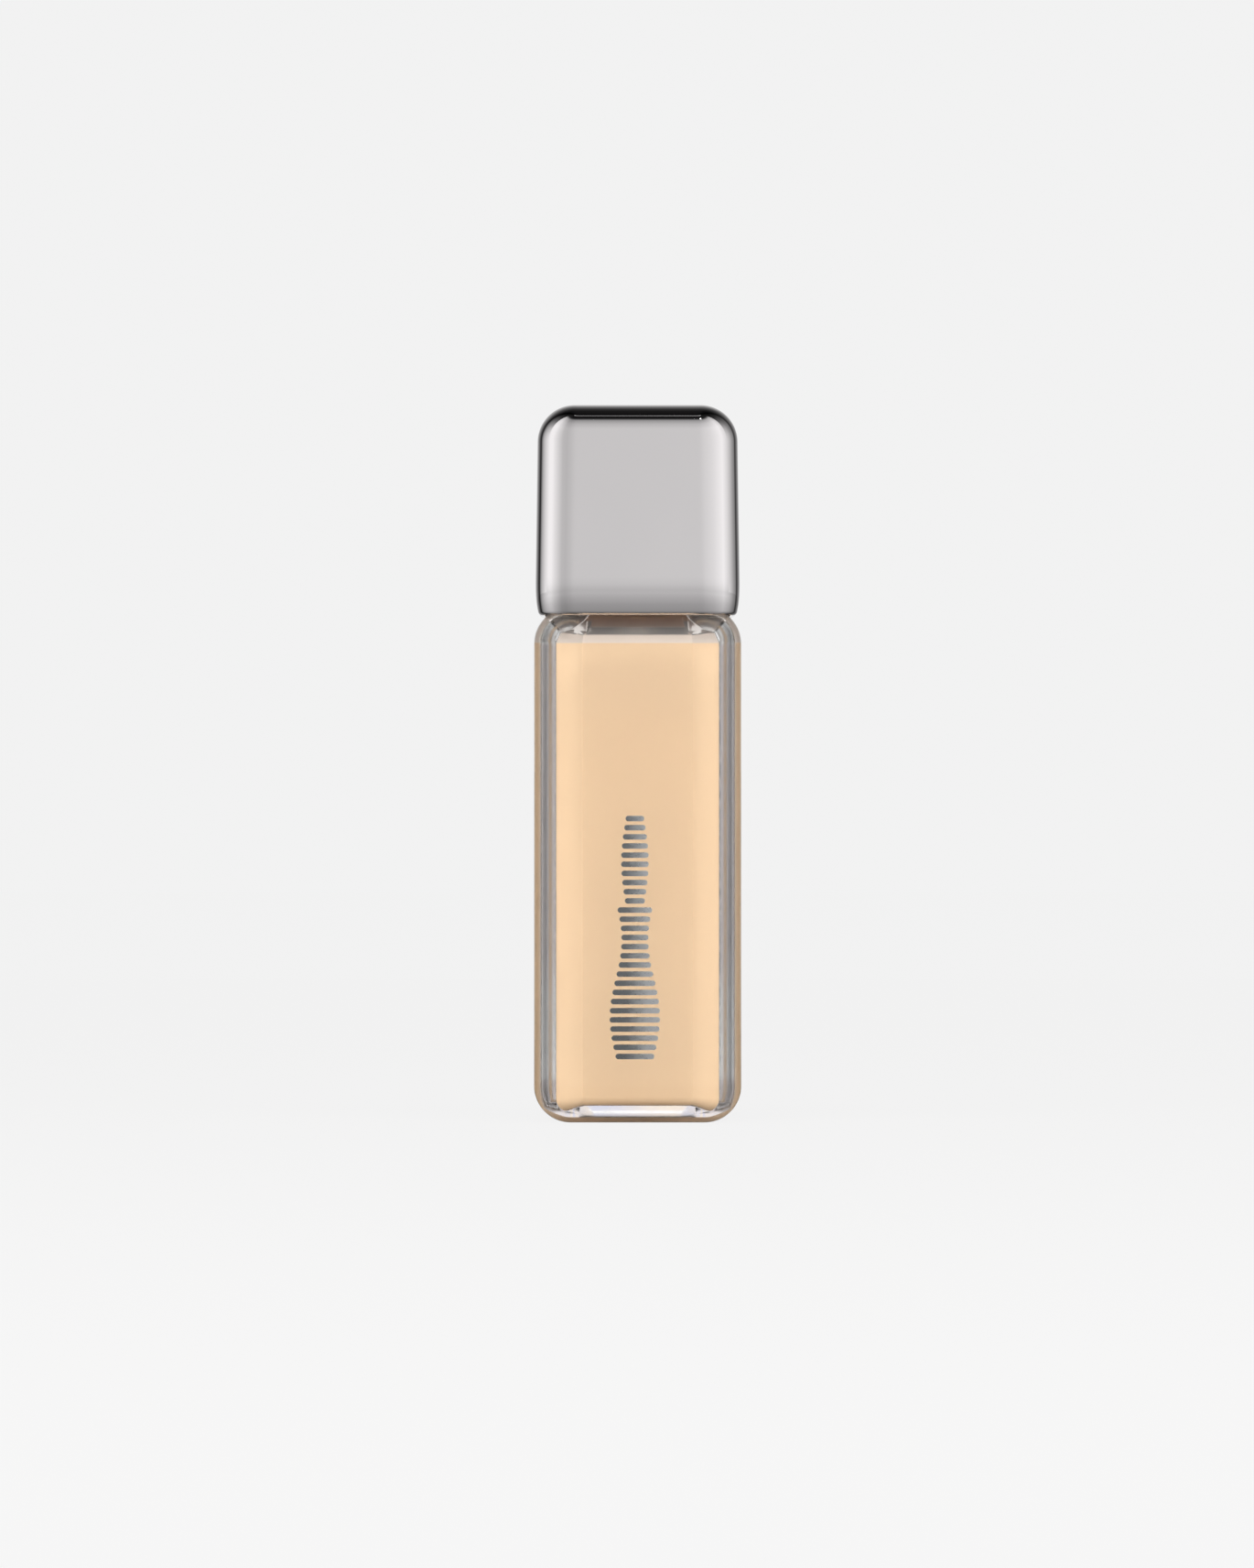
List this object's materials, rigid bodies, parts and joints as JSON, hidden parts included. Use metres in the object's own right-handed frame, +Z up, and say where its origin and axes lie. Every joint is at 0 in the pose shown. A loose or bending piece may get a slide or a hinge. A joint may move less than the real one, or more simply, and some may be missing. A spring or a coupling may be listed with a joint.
{
  "type": "foundation bottle",
  "caption": "Square clear-glass foundation bottle with rounded edges, beige fill, hidden press pump and mirror-silver pull-off cap.",
  "frame": {"origin": "centre of the base, on the surface it stands on", "axes": "+Z up along the bottle's height, -Y towards the decorated front, +X to the right seen from the front"},
  "size_m": [0.03, 0.03, 0.1039],
  "materials": {
    "clear_glass": "clear flint glass, fire-polished gloss",
    "foundation": "opaque light beige liquid, smooth",
    "foil": "hot-stamped silver foil, satin",
    "label_paper": "plain white film label",
    "gasket": "matte natural white",
    "natural_plastic": "moulded natural polypropylene, satin",
    "pump_white": "moulded white polypropylene, semi-gloss",
    "metallised_silver": "vacuum-metallised mirror silver on plastic",
    "sleeve_silver": "bright anodised silver",
    "spring_steel": "bright drawn stainless wire",
    "ball_steel": "ground and polished stainless"
  },
  "bodies": {
    "bottle_body": {"bottle": "clear_glass", "foundation_fill": "foundation", "front_decoration": "foil", "base_label": "label_paper", "neck_gasket": "gasket", "pump_closure": "natural_plastic", "collar_sleeve": "sleeve_silver", "pump_housing": "natural_plastic", "stem_guide": "natural_plastic", "dip_tube": "natural_plastic", "return_spring": "spring_steel"},
    "plunger": {"stem": "natural_plastic", "piston_rod": "natural_plastic"},
    "piston_body": {"piston": "natural_plastic"},
    "head": {"actuator": "pump_white", "actuator_shell": "metallised_silver", "nozzle_insert": "pump_white"},
    "ball": {"ball_valve": "ball_steel"},
    "cap": {"cap_shell": "metallised_silver", "cap_liner": "natural_plastic"}
  },
  "joints": [
    {"name": "cap_pull", "type": "slide", "parent": "bottle_body", "child": "cap", "axis": [0, 0, 1], "range_m": [0, 0.04]},
    {"name": "pump_press", "type": "slide", "parent": "bottle_body", "child": "plunger", "axis": [0, 0, -1], "range_m": [0, 0.0045], "stiffness_N_per_m": 1200, "springref_m": -0.003, "deforming": ["return_spring"]},
    {"name": "head_turn", "type": "hinge", "parent": "plunger", "child": "head", "pos_m": [0, 0, 0.092], "axis": [0, 0, 1], "continuous": true},
    {"name": "piston_lag", "type": "slide", "parent": "plunger", "child": "piston_body", "axis": [0, 0, 1], "range_m": [0, 0.0006]},
    {"name": "ball_lift", "type": "slide", "parent": "bottle_body", "child": "ball", "axis": [0, 0, 1], "range_m": [0, 0.0008]}
  ]
}
